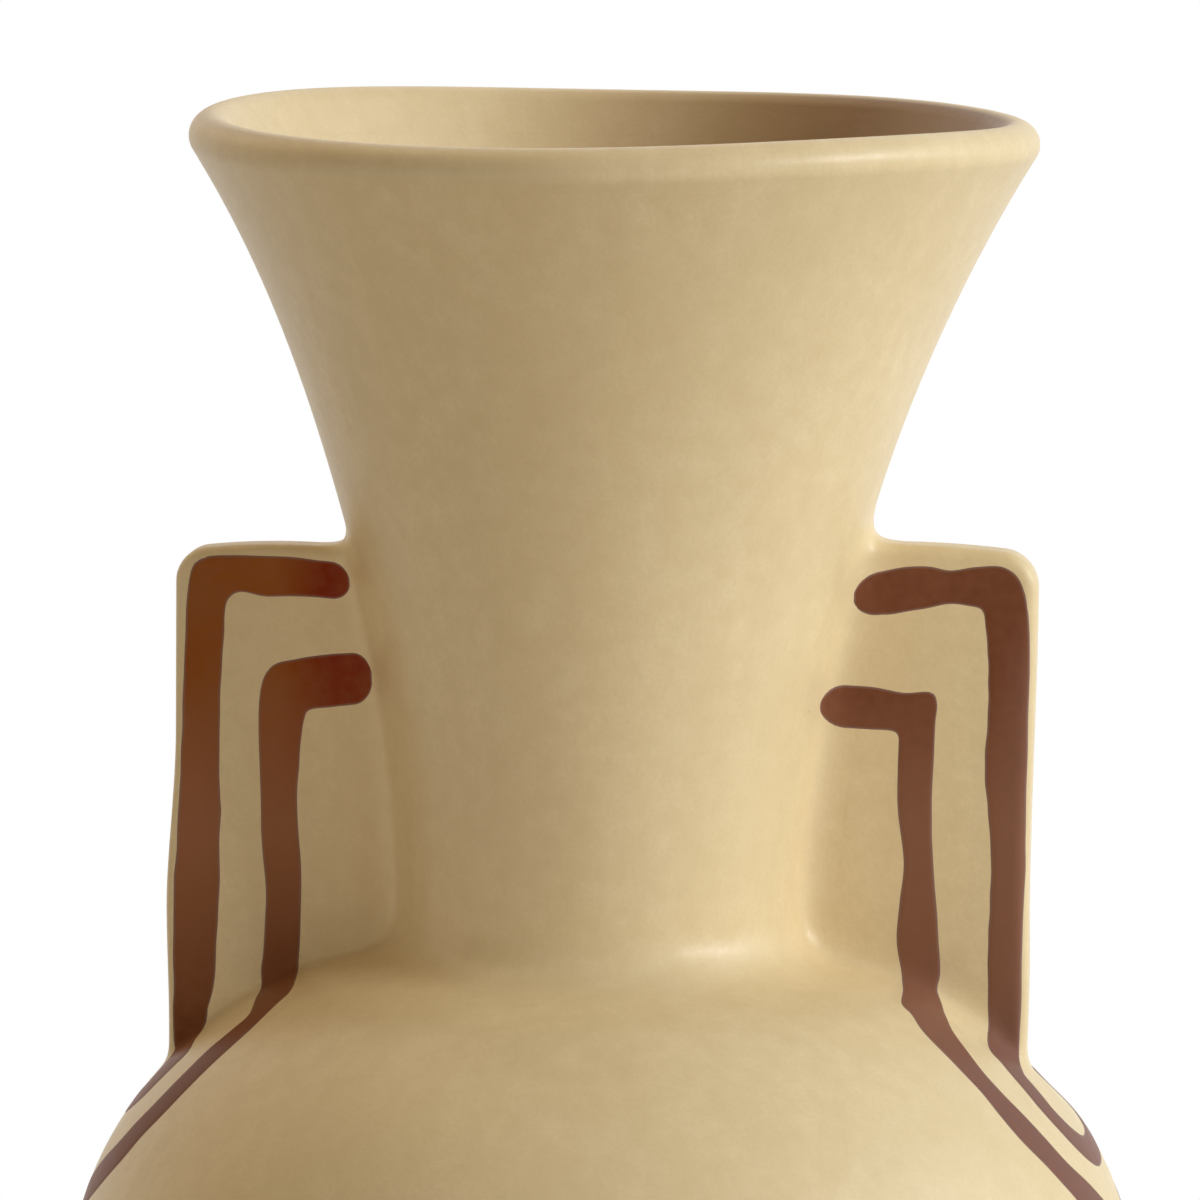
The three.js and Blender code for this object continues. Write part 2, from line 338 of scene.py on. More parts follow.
# Points moved on to the surface of a field
def settled(field, p, rounds):
    for _ in range(rounds):
        g = slope(field, p)
        move = field(p) / np.maximum((g**2).sum(1), LEAST_SLOPE)
        p = p - np.clip(move, -CELL, CELL)[:, None] * g
    return p


# A closed mesh round the inside of a field: one vertex in each cell that the surface crosses
def netted(field, corner_low, corner_high):
    axes = [np.arange(a, b, CELL) for a, b in zip(corner_low, corner_high)]
    grid = np.stack(np.meshgrid(*axes, indexing="ij"), -1)
    value = field(grid.reshape(-1, 3)).reshape(grid.shape[:3])
    inside = value < 0
    cells = np.array(value.shape) - 1
    total = np.zeros((*cells, 3))
    count = np.zeros(cells)
    crossings = []
    for axis in range(3):
        first = [slice(None)] * 3
        second = [slice(None)] * 3
        first[axis] = slice(None, -1)
        second[axis] = slice(1, None)
        first, second = tuple(first), tuple(second)
        at = np.argwhere(inside[first] != inside[second])
        step = np.eye(3, dtype=int)[axis]
        v0 = value[tuple(at.T)]
        v1 = value[tuple((at + step).T)]
        place = grid[tuple(at.T)] + (v0 / (v0 - v1))[:, None] * step * CELL
        b, c = np.eye(3, dtype=int)[(axis + 1) % 3], np.eye(3, dtype=int)[(axis + 2) % 3]
        around = np.stack([at - b - c, at - c, at, at - b], 1)
        for k in range(4):
            where = tuple(around[:, k].T)
            np.add.at(total, where, place)
            np.add.at(count, where, 1)
        around[v0 > 0] = around[v0 > 0][:, ::-1]
        crossings.append(around)
    index = -np.ones(cells, int)
    index[count > 0] = np.arange((count > 0).sum())
    vertices = total[count > 0] / count[count > 0][:, None]
    faces = index[tuple(np.concatenate(crossings).reshape(-1, 3).T)].reshape(-1, 4)
    return settled(field, vertices, NET_ROUNDS), faces


# Small unevenness of a vase made by hand: a slight lean, and a rim that is neither flat nor quite round
LEAN_FOOT = 0.2
LEAN_NECK = 0.4
LEAN_RIM = 0.68
NECK_RISE = (150, 25)
RIM_RISE = (235, 55)
LIFT_RISE = (250, 50)
RIM_LIFT = {2: (0.28, -0.6), 3: (-0.3, 0.14), 4: (-0.17, -0.08)}
RIM_OVAL = (-0.08, -0.19)

# A shallow hollow in the shoulder behind the toe of the right handle
HOLLOW = 1.5
HOLLOW_INNER = (52, 18)
HOLLOW_OUTER = (81.5, 8.5)
HOLLOW_NEAR = (0, 8)
HOLLOW_FAR = (44, 18)
HOLLOW_TOP = (168, 14)


def handmade(p):
    x, y, z = p.T
    turn = np.arctan2(y, x)
    lean = LEAN_FOOT - LEAN_NECK * rising(z, *NECK_RISE) + LEAN_RIM * rising(z, *RIM_RISE)
    lift = sum(a * np.cos(n * turn) + b * np.sin(n * turn) for n, (a, b) in RIM_LIFT.items())
    oval = RIM_OVAL[0] * np.cos(2 * turn) + RIM_OVAL[1] * np.sin(2 * turn)
    oval = oval * rising(z, *RIM_RISE)
    hollow = rising(x, *HOLLOW_INNER) * falling(x, *HOLLOW_OUTER)
    hollow = hollow * rising(y, *HOLLOW_NEAR) * falling(y, *HOLLOW_FAR)
    hollow = HOLLOW * hollow * falling(z, *HOLLOW_TOP)
    return np.stack([
        x + lean + oval * np.cos(turn),
        y + oval * np.sin(turn),
        z + lift * rising(z, *LIFT_RISE) - hollow,
    ], 1)


# A thin skin knows its distance from the stroke's edge, and its shading stays smooth up to its flat walls
def mark_skin(mesh, edge, walls):
    mesh.attributes.new("edge", "FLOAT", "POINT").data.foreach_set("value", edge.astype(np.float32))
    flat = np.arange(len(mesh.polygons)) >= len(mesh.polygons) - walls
    mesh.attributes.new("sharp_face", "BOOLEAN", "FACE").data.foreach_set("value", flat)
    sides = np.zeros(len(mesh.loops), int)
    mesh.loops.foreach_get("edge_index", sides)
    crisp = np.zeros(len(mesh.edges), bool)
    crisp[sides.reshape(len(flat), -1)[flat]] = True
    mesh.attributes.new("sharp_edge", "BOOLEAN", "EDGE").data.foreach_set("value", crisp)


def piece(name, vertices, faces, material, slot, nodes, edge=None, walls=0):
    mesh = bpy.data.meshes.new(name)
    mesh.from_pydata((handmade(vertices) * MM).tolist(), [], [list(f) for f in faces])
    mesh.shade_smooth()
    mesh.materials.append(material)
    if edge is not None:
        mark_skin(mesh, edge, walls)
    mesh.validate()
    obj = bpy.data.objects.new(name, mesh)
    bpy.context.scene.collection.objects.link(obj)
    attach(obj, "root")
    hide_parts(*nodes)


# Part of an outline between two heights, with a close pair of points at each end
def stretch(line, bottom, top):
    r = np.interp([bottom, bottom + SUPPORT, top - SUPPORT, top], line[:, 1], line[:, 0])
    inside = line[(line[:, 1] > bottom + 2 * SUPPORT) & (line[:, 1] < top - 2 * SUPPORT)]
    ends = np.stack([r, [bottom, bottom + SUPPORT, top - SUPPORT, top]], 1)
    return np.vstack([ends[:2], inside, ends[2:]])


# A profile of radius and height turned round the axis
ON_AXIS = 1e-6


def turned(profile):
    turn = np.linspace(0, 2 * math.pi, SEGMENTS, endpoint=False)
    poles = profile[:, 0] < ON_AXIS
    ring = profile[~poles]
    n = len(ring)
    r = np.tile(ring[:, 0], SEGMENTS)
    z = np.tile(ring[:, 1], SEGMENTS)
    a = np.repeat(turn, n)
    vertices = np.stack([r * np.cos(a), r * np.sin(a), z], 1)
    faces = []
    last = n - 1 if poles.any() else n
    for s in range(SEGMENTS):
        here, there = s * n, (s + 1) % SEGMENTS * n
        for i in range(last):
            j = (i + 1) % n
            faces.append((here + i, there + i, there + j, here + j))
    if poles.any():
        top = len(vertices)
        vertices = np.vstack([vertices, [[0, 0, z] for z in profile[poles, 1]]])
        for s in range(SEGMENTS):
            here, there = s * n, (s + 1) % SEGMENTS * n
            faces.append((top, there, here))
            faces.append((here + n - 1, there + n - 1, top + 1))
    return vertices, faces


def section(bottom, top):
    return np.vstack([stretch(SKIN, bottom, top), stretch(LINING, bottom, top)[::-1]])


def rim_profile():
    turn = np.linspace(-FLARE_ANGLE, math.pi - FLARE_ANGLE, LIP_STEPS)[1:-1]
    lip = LIP_CENTRE + LIP_RADIUS * np.stack([np.cos(turn), np.sin(turn)], 1)
    return np.vstack([
        stretch(SKIN, RIM_JOINT, SKIN[-1, 1]),
        lip,
        stretch(LINING, RIM_JOINT, LINING[-1, 1])[::-1],
    ])


def bowl_profile():
    floor = LINING[0, 1]
    under = [(r, FOOT_HEIGHT) for r in np.linspace(0, FOOT_RADIUS - UNDERSIDE_INSET, FLAT_STEPS)]
    over = [(r, floor) for r in np.linspace(LINING[0, 0] - FLOOR_INSET, 0, FLAT_STEPS)]
    return np.vstack([
        under,
        stretch(SKIN, FOOT_HEIGHT, BELLY_HEIGHT),
        stretch(LINING, floor, BELLY_HEIGHT)[::-1],
        over,
    ])


def foot_profile():
    inner = FOOT_RADIUS - FOOT_WIDTH
    tread = FOOT_RADIUS - FOOT_TAPER
    turn = np.linspace(-math.pi / 2, 0, FOOT_STEPS)
    arc = FOOT_EASE * np.stack([np.cos(turn), np.sin(turn)], 1)
    outer_ease = arc + [tread - FOOT_EASE, FOOT_EASE]
    inner_ease = arc * [-1, 1] + [inner + FOOT_EASE, FOOT_EASE]
    outer_side = np.linspace(outer_ease[-1], [FOOT_RADIUS, FOOT_HEIGHT], FOOT_STEPS)[1:]
    inner_side = np.linspace([inner, FOOT_HEIGHT], inner_ease[-1], FOOT_STEPS)[:-1]
    tread_face = np.linspace(inner_ease[0], outer_ease[0], TREAD_STEPS)[1:-1]
    return np.vstack([outer_ease, outer_side, inner_side, inner_ease[::-1], tread_face])


# A brush stroke runs down a handle's front face, over the shoulder below it and back up the other face.
# Each has the length of its rounded start, its ribs on the face and its ribs on the shoulder.
# A rib is an inner and an outer point: on a face as distance from the axis and height,
# on the shoulder as distance in front of the handle's middle and height.
STROKES = {
    ("outer", "right"): (4.5, [
        (46.4, 222.2, 46.6, 229.8), (48.9, 222.5, 50.5, 230.6), (53.4, 223.4, 54.6, 230.7),
        (57.8, 224.3, 58.2, 230.2), (61.3, 224.1, 62.6, 230.9), (63.6, 223.2, 67.3, 230.8),
        (64.2, 220.1, 70.3, 227.7), (64.6, 215, 71.6, 219.6), (64.7, 206.7, 71.6, 208),
        (64.3, 197.1, 71.5, 197.2), (65.1, 187.3, 71.4, 185.5), (65.6, 181.4, 71.5, 180.2),
        (65.5, 175, 71.3, 175), (65.1, 164.7, 70.9, 163), (65.2, 153.8, 70.7, 154.6),
        (65.9, 150.2, 70.5, 148.7),
    ], [
        (12.1, 148.4, 5.4, 146.4), (13.1, 147, 7.4, 145.5), (14.2, 144.4, 8, 144),
        (14.9, 140.8, 8.7, 141.2), (14.1, 137.5, 8.5, 139.5), (12, 134, 7, 137.2),
        (8.4, 131.2, 4.4, 135.4), (3.5, 129.6, 1.5, 134.5),
    ]),
    ("inner", "right"): (4.2, [
        (40.9, 203, 41.1, 210.5), (44.5, 202.9, 45.5, 210.2), (48.4, 202.8, 50.7, 209.4),
        (49.7, 202, 55.1, 209.6), (49.8, 200, 56.3, 207.7), (49.7, 196.4, 56, 203.2),
        (49.8, 189.5, 55.7, 190), (50.9, 180.6, 55.9, 182.8), (50.3, 174, 56.6, 174),
        (49.8, 167.4, 57, 168.5), (50.6, 162.2, 57.3, 162.2), (51.1, 159.8, 56.8, 159.2),
    ], [
        (16.4, 158.75, 6.2, 156.6), (19, 157.3, 9.4, 155.7), (23.1, 154.8, 15.1, 153.7),
        (26.6, 149.9, 20.5, 149.3), (28.1, 146.1, 22.4, 145.7), (29.5, 142.2, 22.4, 141.7),
        (29.7, 138.3, 21.7, 137.7), (28.1, 134.2, 20, 133.5), (25.5, 129.5, 15.6, 129.1),
        (19.5, 121.8, 9, 123.6), (8, 114.8, 3, 120.2),
    ]),
    ("outer", "left"): (3.3, [
        (46, 222.9, 46.2, 229.4), (51.6, 223.2, 51.7, 229.9), (57, 223.1, 58, 230.1),
        (61.1, 223.7, 63.6, 230), (63.2, 222.8, 68, 229.4), (64.1, 220.5, 70.3, 226.5),
        (64.4, 214, 71, 216), (64.9, 203.7, 71.4, 204), (64.9, 190, 71.9, 190),
        (64.6, 186.3, 72.2, 184.3), (64.9, 181.5, 72.5, 178.7), (64.9, 174, 72.8, 174),
        (65.4, 165, 73.1, 164), (66.1, 157, 73.2, 155.4), (67.1, 152.6, 73.3, 151.5),
        (68.3, 148.5, 73.2, 146.7),
    ], [
        (14.7, 147.1, 3.7, 144.9), (16, 145.1, 4.5, 143.2), (15.9, 141.5, 5.2, 141.3),
        (14.7, 138.7, 5, 139.8), (10.4, 135.9, 3.8, 138.5), (4.6, 134.2, 1.5, 137.8),
    ]),
    ("inner", "left"): (3.5, [
        (42.2, 205, 42.6, 214), (46, 204.5, 47, 213.6), (49.6, 203.9, 52, 212.7),
        (50.6, 202.3, 56.4, 211.2), (51.1, 198.9, 58.3, 206.1), (51.5, 192, 58.3, 194),
        (51.7, 186.5, 58, 186.5), (51, 178, 57.7, 179.1), (50.9, 172.5, 57.1, 171.5),
        (51.3, 164.1, 57.8, 162.5), (51.3, 160.2, 58.1, 159.5), (50.7, 158.8, 58, 156),
    ], [
        (22.6, 156.9, 18.9, 154.5), (26.7, 153.8, 21.4, 152.3), (29.2, 150.8, 22.9, 149.2),
        (30.9, 147.4, 24.3, 146.1), (32.2, 143.8, 25, 143.2), (32.7, 139.8, 25.2, 139.8),
        (31.9, 136, 23.8, 136.3), (30.6, 131.7, 21.2, 131.9), (26.5, 126.6, 15, 127.2),
        (18.5, 120.6, 8.5, 123.4), (7.5, 115.4, 2.8, 120.6),
    ]),
}
BACK_SPREAD = 1.5
FRONT_TREMBLE = 0.05
BACK_TREMBLE = 0.3
TREMBLE_FADE = (0, 20)
WAVES = 5
WAVE_LENGTHS = (0.7, 4)
WAVE_STARTS = (0, 6.3)
WAVE_SCALE = 2.2
RIB_SAMPLES = 40
JOINT_RIBS = 3.5
START_ANGLES = [6, 16, 28, 42, 56, 70, 80]
FACE_CLEAR = 30.0
HALVINGS = 40


# Points on the front of the blended surface, found by halving the distance
def on_face(handle, x, z):
    outside = np.full(len(x), FACE_CLEAR)
    inside = np.zeros(len(x))
    for _ in range(HALVINGS):
        y = (outside + inside) / 2
        clear = handle.surface(np.stack([handle.side * x, -y, z], 1)) > 0
        outside = np.where(clear, y, outside)
        inside = np.where(clear, inside, y)
    return np.stack([handle.side * x, -outside, z], 1)


def on_shoulder(handle, y, z):
    r = np.interp(z, SKIN[:, 1], SKIN[:, 0])
    points = np.stack([handle.side * np.sqrt(r**2 - y**2), -y, z], 1)
    return settled(handle.surface, points, SHOULDER_ROUNDS)


# Both edges of a stroke, sampled evenly, and the rib number at each sample
def rails(handle, face, shoulder, seed):
    face, shoulder = np.array(face, float).T, np.array(shoulder, float).T
    sides = []
    for k in (0, 2):
        front = np.vstack([on_face(handle, *face[k:k + 2]), on_shoulder(handle, *shoulder[k:k + 2])])
        sides.append(np.vstack([front, front[::-1] * [1, -BACK_SPREAD, 1]]))
    ribs = np.hstack(sides)
    n = len(ribs)
    padded = np.vstack([2 * ribs[0] - ribs[1], ribs, 2 * ribs[-1] - ribs[-2]])
    u = np.linspace(0, n - 1, RIB_SAMPLES * (n - 1) + 1)
    i = np.minimum(u.astype(int), n - 2)
    t = (u - i)[:, None]
    p0, p1, p2, p3 = (padded[i + k] for k in range(4))
    fine = 0.5 * (2 * p1 + (p2 - p0) * t + (2 * p0 - 5 * p1 + 4 * p2 - p3) * t**2
                  + (3 * p1 - p0 - 3 * p2 + p3) * t**3)
    length = run((fine[:, :3] + fine[:, 3:]) / 2)
    even = np.linspace(0, length[-1], int(length[-1] / STROKE_STEP) + 2)
    both = np.stack([np.interp(even, length, column) for column in fine.T], 1)
    draw = np.random.default_rng(seed)
    behind = rising(both[:, 1] + both[:, 4], *TREMBLE_FADE)
    tremble = FRONT_TREMBLE + (BACK_TREMBLE - FRONT_TREMBLE) * behind
    across = both[:, 3:] - both[:, :3]
    across /= np.linalg.norm(across, axis=1, keepdims=True)
    for rail in (both[:, :3], both[:, 3:]):
        shake = 0
        for _ in range(WAVES):
            shake = shake + np.sin(even / draw.uniform(*WAVE_LENGTHS) + draw.uniform(*WAVE_STARTS))
        shake = shake / WAVE_SCALE
        rail += (tremble * shake)[:, None] * across
    return both[:, :3], both[:, 3:], np.interp(even, length, u)


# Distance along a line of points
def run(points):
    return np.concatenate([[0], np.cumsum(np.linalg.norm(np.diff(points, axis=0), axis=1))])


# Points moved straight back or forward on to a handle's face
def laid(handle, p):
    placed = on_face(handle, handle.side * p[:, 0], p[:, 2])
    return placed * np.stack([np.ones(len(p)), np.where(p[:, 1] > 0, -1, 1), np.ones(len(p))], 1)


# A rounded beginning in front of the first rib
def rounded_start(handle, first, second, length):
    middle = (first[0] + second[0]) / 2
    half = (second[0] - first[0]) / 2
    back = middle - (first[1] + second[1]) / 2
    back /= np.linalg.norm(back)
    a = np.radians(START_ANGLES)[:, None]
    centre = middle + back * length * np.cos(a)
    side = half * np.sin(a)
    return np.vstack([laid(handle, centre - side), first]), np.vstack([laid(handle, centre + side), second])


# Places of the points across a stroke
ACROSS = np.array([0, 0.03, 0.08, 0.2, 0.35, 0.5, 0.65, 0.8, 0.92, 0.97, 1])


# A stroke's points, their distances from its edge, and where it is parted into band, stripe and band
def stroke(handle, start, face, shoulder, seed):
    first, second, number = rails(handle, face, shoulder, seed)
    sampled = len(first)
    for _ in ("front", "back"):
        first, second = rounded_start(handle, first, second, start)
        first, second = first[::-1], second[::-1]
    added = (len(first) - sampled) // 2
    w = ACROSS[None, :, None]
    points = first[:, None] * (1 - w) + second[:, None] * w
    edge = np.minimum(ACROSS, 1 - ACROSS)[None] * np.linalg.norm(second - first, axis=1)[:, None]
    past = run((first + second) / 2)
    edge = np.minimum(edge, np.minimum(past, past[-1] - past)[:, None])
    points = settled(handle.surface, points.reshape(-1, 3), STROKE_ROUNDS).reshape(points.shape)
    joint = added + np.searchsorted(number, len(face) - JOINT_RIBS)
    return points, edge, [joint, len(points) - 1 - joint]


# A thin closed skin of glaze over points on a surface, thinning to nothing at its edges
GLAZE = 0.1
GLAZE_EDGE = 0.4
GLAZE_SINK = 0.02
GLAZE_DEPTH = 0.3


def glaze_skin(points, edge, field):
    m, n = points.shape[:2]
    flat = points.reshape(-1, 3)
    normal = slope(field, flat)
    normal /= np.linalg.norm(normal, axis=1, keepdims=True)
    rise = (GLAZE * np.clip(edge / GLAZE_EDGE, 0, 1) - GLAZE_SINK).reshape(-1, 1)
    vertices = np.vstack([flat + rise * normal, flat - GLAZE_DEPTH * normal])
    count = m * n
    number = np.arange(count).reshape(m, n)
    corners = [number[:-1, :-1], number[1:, :-1], number[1:, 1:], number[:-1, 1:]]
    cell = np.stack(corners, -1).reshape(-1, 4)
    border = np.concatenate([number[0, :-1], number[:-1, -1], number[-1, :0:-1], number[:0:-1, 0]])
    after = np.roll(border, -1)
    walls = np.stack([border, after, after + count, border + count], 1)
    faces = np.vstack([cell, cell[:, ::-1] + count, walls])
    return vertices, facing_out(vertices, faces), np.concatenate([edge.reshape(-1)] * 2), len(walls)


# Faces turned so that a closed mesh has its inside within
def facing_out(vertices, faces):
    a, b, c, d = (vertices[faces[:, k]] for k in range(4))
    volume = (np.cross(b, c) * a).sum() + (np.cross(c, d) * a).sum()
    return faces if volume > 0 else faces[:, ::-1]


# A colour as it is seen, from levels of 0 to 255
def linear(*levels):
    parts = [level / 255 for level in levels]
    return (*(p / 12.92 if p <= 0.04045 else ((p + 0.055) / 1.055) ** 2.4 for p in parts), 1)


WHITE = (1, 1, 1, 1)
CREAM_DARK = linear(233, 212, 167)
CREAM_PALE = linear(240, 219, 175)
CREAM_STREAK = linear(225, 202, 154)
CREAM_MOTTLE = linear(224, 201, 153)
CREAM_GRAIN = linear(221, 197, 150)
CREAM_PAINTED_SHADE_INSIDE = linear(142, 98, 46)
PINHOLE = linear(120, 72, 45)
BROWN_DARK = linear(111, 63, 40)
BROWN_PALE = linear(122, 74, 50)
BROWN_LOW = linear(140, 97, 74)
BROWN_PAINTED_EDGE_SHEEN = linear(150, 112, 96)
BROWN_PAINTED_SHOULDER_SHEEN = linear(124, 89, 77)
BROWN_LEFT_WASH_AND_SHEEN = linear(163, 109, 76)
BROWN_LEFT_LOW = linear(122, 72, 38)
BROWN_ORANGE = linear(154, 82, 6)
BROWN_RED = linear(126, 18, 6)
BROWN_GRAIN = linear(150, 100, 74)
BROWN_EDGE = linear(146, 122, 114)
FLOOR_COLOUR = linear(226, 224, 220)


# Nodes of a white background: it is white to the camera, in reflections and through glass
def seen_as_white(tree):
    path = tree.nodes.new("ShaderNodeLightPath")
    seen = path.outputs["Is Camera Ray"]
    for other in ("Is Glossy Ray", "Is Transmission Ray"):
        either = tree.nodes.new("ShaderNodeMath")
        either.operation = "MAXIMUM"
        tree.links.new(seen, either.inputs[0])
        tree.links.new(path.outputs[other], either.inputs[1])
        seen = either.outputs[0]
    return seen


# A material with short names for its nodes. Places, and scales of noise, are in metres.
class Shader:
    def __init__(self, name):
        self.material = bpy.data.materials.new(name)
        self.material.use_nodes = True
        self.tree = self.material.node_tree
        self.surface = self.tree.nodes["Principled BSDF"]
        self.place = self.add("ShaderNodeTexCoord").outputs["Object"]

    def add(self, kind, values=(), **settings):
        node = self.tree.nodes.new(kind)
        for key, value in settings.items():
            setattr(node, key, value)
        for key, value in dict(values).items():
            if isinstance(value, bpy.types.NodeSocket):
                self.tree.links.new(value, node.inputs[key])
            else:
                node.inputs[key].default_value = value
        return node

    def set(self, key, value):
        if isinstance(value, bpy.types.NodeSocket):
            self.tree.links.new(value, self.surface.inputs[key])
        else:
            self.surface.inputs[key].default_value = value

    def stretched(self, x, y, z):
        values = {"Vector": self.place, "Scale": (x, y, z)}
        return self.add("ShaderNodeMapping", values).outputs[0]

    def noise(self, scale, detail=3, place=None):
        values = {"Vector": place or self.place, "Scale": scale, "Detail": detail}
        return self.add("ShaderNodeTexNoise", values).outputs[0]

    def spread(self, value, low, high, to_low=0, to_high=1):
        values = {0: value, 1: low, 2: high, 3: to_low, 4: to_high}
        return self.add("ShaderNodeMapRange", values).outputs[0]

    def times(self, a, b):
        return self.add("ShaderNodeMath", {0: a, 1: b}, operation="MULTIPLY").outputs[0]

    def above(self, a, b):
        return self.add("ShaderNodeMath", {0: a, 1: b}, operation="GREATER_THAN").outputs[0]

    def mix(self, share, a, b):
        values = {0: share, 6: a, 7: b}
        return self.add("ShaderNodeMix", values, data_type="RGBA").outputs[2]

    # How far the surface faces away from the vase's axis
    def outward(self):
        facing = self.add("ShaderNodeTexCoord").outputs["Normal"]
        radial = self.stretched(1, 1, 0)
        radial = self.add("ShaderNodeVectorMath", {0: radial}, operation="NORMALIZE").outputs[0]
        values = {0: facing, 1: radial}
        return self.add("ShaderNodeVectorMath", values, operation="DOT_PRODUCT").outputs["Value"]

    def bump(self, height, distance, below=None):
        values = {"Height": height, "Distance": distance, "Strength": 1}
        if below:
            values["Normal"] = below
        return self.add("ShaderNodeBump", values).outputs[0]


# Cream all over, with soft mottling, faint streaks and a few pinholes, and painted shade inside the mouth
# on the right, where the lining is turned browner and darker.
# A pair is where one shade begins to pass into another and where it has done so.
PINHOLE_SIZE = (0.014, 0.022)
PINHOLE_RARITY = 0.86
PINHOLE_SHARE = 0.6
SHADE_INSIDE_FACING = (-0.1, -0.5)
SHADE_INSIDE_ACROSS = (-0.03, 0.04)
SHADE_INSIDE_SHARE = 0.9


def cream_glaze():
    s = Shader("cream_glaze")
    middle = (0.3, 0.7)
    clouds = s.spread(s.noise(22, 4), *middle)
    mottle = s.spread(s.noise(260, 3), *middle)
    streaks = s.spread(s.noise(120, 3, s.stretched(1, 1, 0.12)), *middle)
    grain = s.spread(s.noise(1400, 2), 0.25, 0.75)
    colour = s.mix(clouds, CREAM_DARK, CREAM_PALE)
    colour = s.mix(s.spread(streaks, 0, 1, 0, 0.5), colour, CREAM_STREAK)
    colour = s.mix(s.spread(mottle, 0, 1, 0, 0.6), colour, CREAM_MOTTLE)
    colour = s.mix(s.spread(grain, 0, 1, 0, 0.4), colour, CREAM_GRAIN)
    cells = s.add("ShaderNodeTexVoronoi", {"Vector": s.place, "Scale": 55})
    dot = s.spread(cells.outputs["Distance"], *PINHOLE_SIZE, 1, 0)
    number = s.add("ShaderNodeSeparateColor", {0: cells.outputs["Color"]}).outputs[0]
    pinhole = s.times(dot, s.above(number, PINHOLE_RARITY))
    colour = s.mix(s.times(pinhole, PINHOLE_SHARE), colour, PINHOLE)
    # Painted shade: the lining inside the mouth is darkened towards brown on its right side
    across = s.add("ShaderNodeSeparateXYZ", {0: s.place}).outputs["X"]
    facing = s.spread(s.outward(), *SHADE_INSIDE_FACING)
    inside = s.times(facing, s.spread(across, *SHADE_INSIDE_ACROSS, 0, SHADE_INSIDE_SHARE))
    colour = s.mix(inside, colour, CREAM_PAINTED_SHADE_INSIDE)
    s.set("Base Color", colour)
    s.set("Roughness", s.spread(grain, 0, 1, 0.33, 0.45))
    s.set("Specular IOR Level", 0.32)
    swell = s.bump(s.noise(45, 2), 0.0004)
    s.set("Normal", s.bump(s.noise(900, 3), 0.00004, swell))
    return s.material


# The brown is darkest high on the right handle and paler lower down. A paler mauve along that handle's
# outer edge and over the shoulder is painted sheen of the light from the right.
# On the left it is paler, as a thinner wash and as painted sheen over the handle in shade; it turns orange
# in patches high on the handle, and deep red at the ends of the strokes.
# A thin grey line runs along the edges of the strokes, and its width is in millimetres.
LEFT_SIDE = (0.01, -0.01)
LOW_HEIGHT = (0.212, 0.188)
EDGE_SHEEN_ACROSS = (0.0655, 0.0715)
EDGE_SHEEN_HEIGHT = (0.226, 0.212)
EDGE_SHEEN_SHARE = 0.4
SHOULDER_SHEEN_HEIGHT = (0.162, 0.146)
LEFT_LOW_HEIGHT = (0.182, 0.15)
ORANGE_HEIGHT = (0.185, 0.215)
ORANGE_LEAST = 0.5
RED_ACROSS = (-0.056, -0.046)
LINE_WIDTH = (0.1, 0.55)
LINE_SHARE = 0.75


def brown_glaze():
    s = Shader("brown_glaze")
    clouds = s.spread(s.noise(70, 4), 0.3, 0.7)
    grain = s.spread(s.noise(520, 4), 0.25, 0.75)
    place = s.add("ShaderNodeSeparateXYZ", {0: s.place}).outputs
    across, height = place["X"], place["Z"]
    left = s.spread(across, *LEFT_SIDE)
    colour = s.mix(clouds, BROWN_DARK, BROWN_PALE)
    colour = s.mix(s.spread(height, *LOW_HEIGHT), colour, BROWN_LOW)
    # Painted sheen: a paler mauve along the right handle's outer edge, high up
    border = s.times(s.spread(across, *EDGE_SHEEN_ACROSS), s.spread(height, *EDGE_SHEEN_HEIGHT))
    colour = s.mix(s.times(border, EDGE_SHEEN_SHARE), colour, BROWN_PAINTED_EDGE_SHEEN)
    # Painted sheen: the stripes on the shoulder turn a paler mauve below this height
    colour = s.mix(s.spread(height, *SHOULDER_SHEEN_HEIGHT), colour, BROWN_PAINTED_SHOULDER_SHEEN)
    # Lighter on the left, both as a thinner wash and as painted sheen over the handle in shade
    left_wash_and_sheen = s.mix(s.spread(height, *LEFT_LOW_HEIGHT), BROWN_LEFT_WASH_AND_SHEEN, BROWN_LEFT_LOW)
    colour = s.mix(left, colour, left_wash_and_sheen)
    warm = s.times(s.spread(height, *ORANGE_HEIGHT), left)
    warm = s.times(warm, s.spread(clouds, 0, 1, ORANGE_LEAST, 1))
    colour = s.mix(warm, colour, BROWN_ORANGE)
    red = s.times(warm, s.spread(across, *RED_ACROSS))
    colour = s.mix(red, colour, BROWN_RED)
    colour = s.mix(s.spread(grain, 0, 1, 0, 0.28), colour, BROWN_GRAIN)
    edge = s.add("ShaderNodeAttribute", attribute_name="edge").outputs["Fac"]
    rim = s.spread(edge, *LINE_WIDTH, LINE_SHARE, 0)
    colour = s.mix(rim, colour, BROWN_EDGE)
    s.set("Base Color", colour)
    s.set("Roughness", s.spread(grain, 0, 1, 0.32, 0.42))
    s.set("Specular IOR Level", 0.03)
    s.set("Normal", s.bump(s.noise(700, 3), 0.00003))
    return s.material


CREAM = cream_glaze()
BROWN = brown_glaze()


# The vase
def clay(name, shape, *nodes):
    piece(name, *shape, CREAM, "cream_glaze", nodes)


clay("glazed_foot_ring", turned(foot_profile()), "foot_ring")
clay("glazed_lower_bowl", turned(bowl_profile()), "lower_bowl")
clay("glazed_shoulder", turned(section(BELLY_HEIGHT, NECK_FOOT)), "shoulder_dome")
clay("glazed_neck", turned(section(NECK_FOOT, COLLAR_JOINT)), "neck_tube")
clay("glazed_collar", turned(section(COLLAR_JOINT, RIM_JOINT)), "flared_collar")
clay("glazed_rim", turned(rim_profile()), "rim_coil")

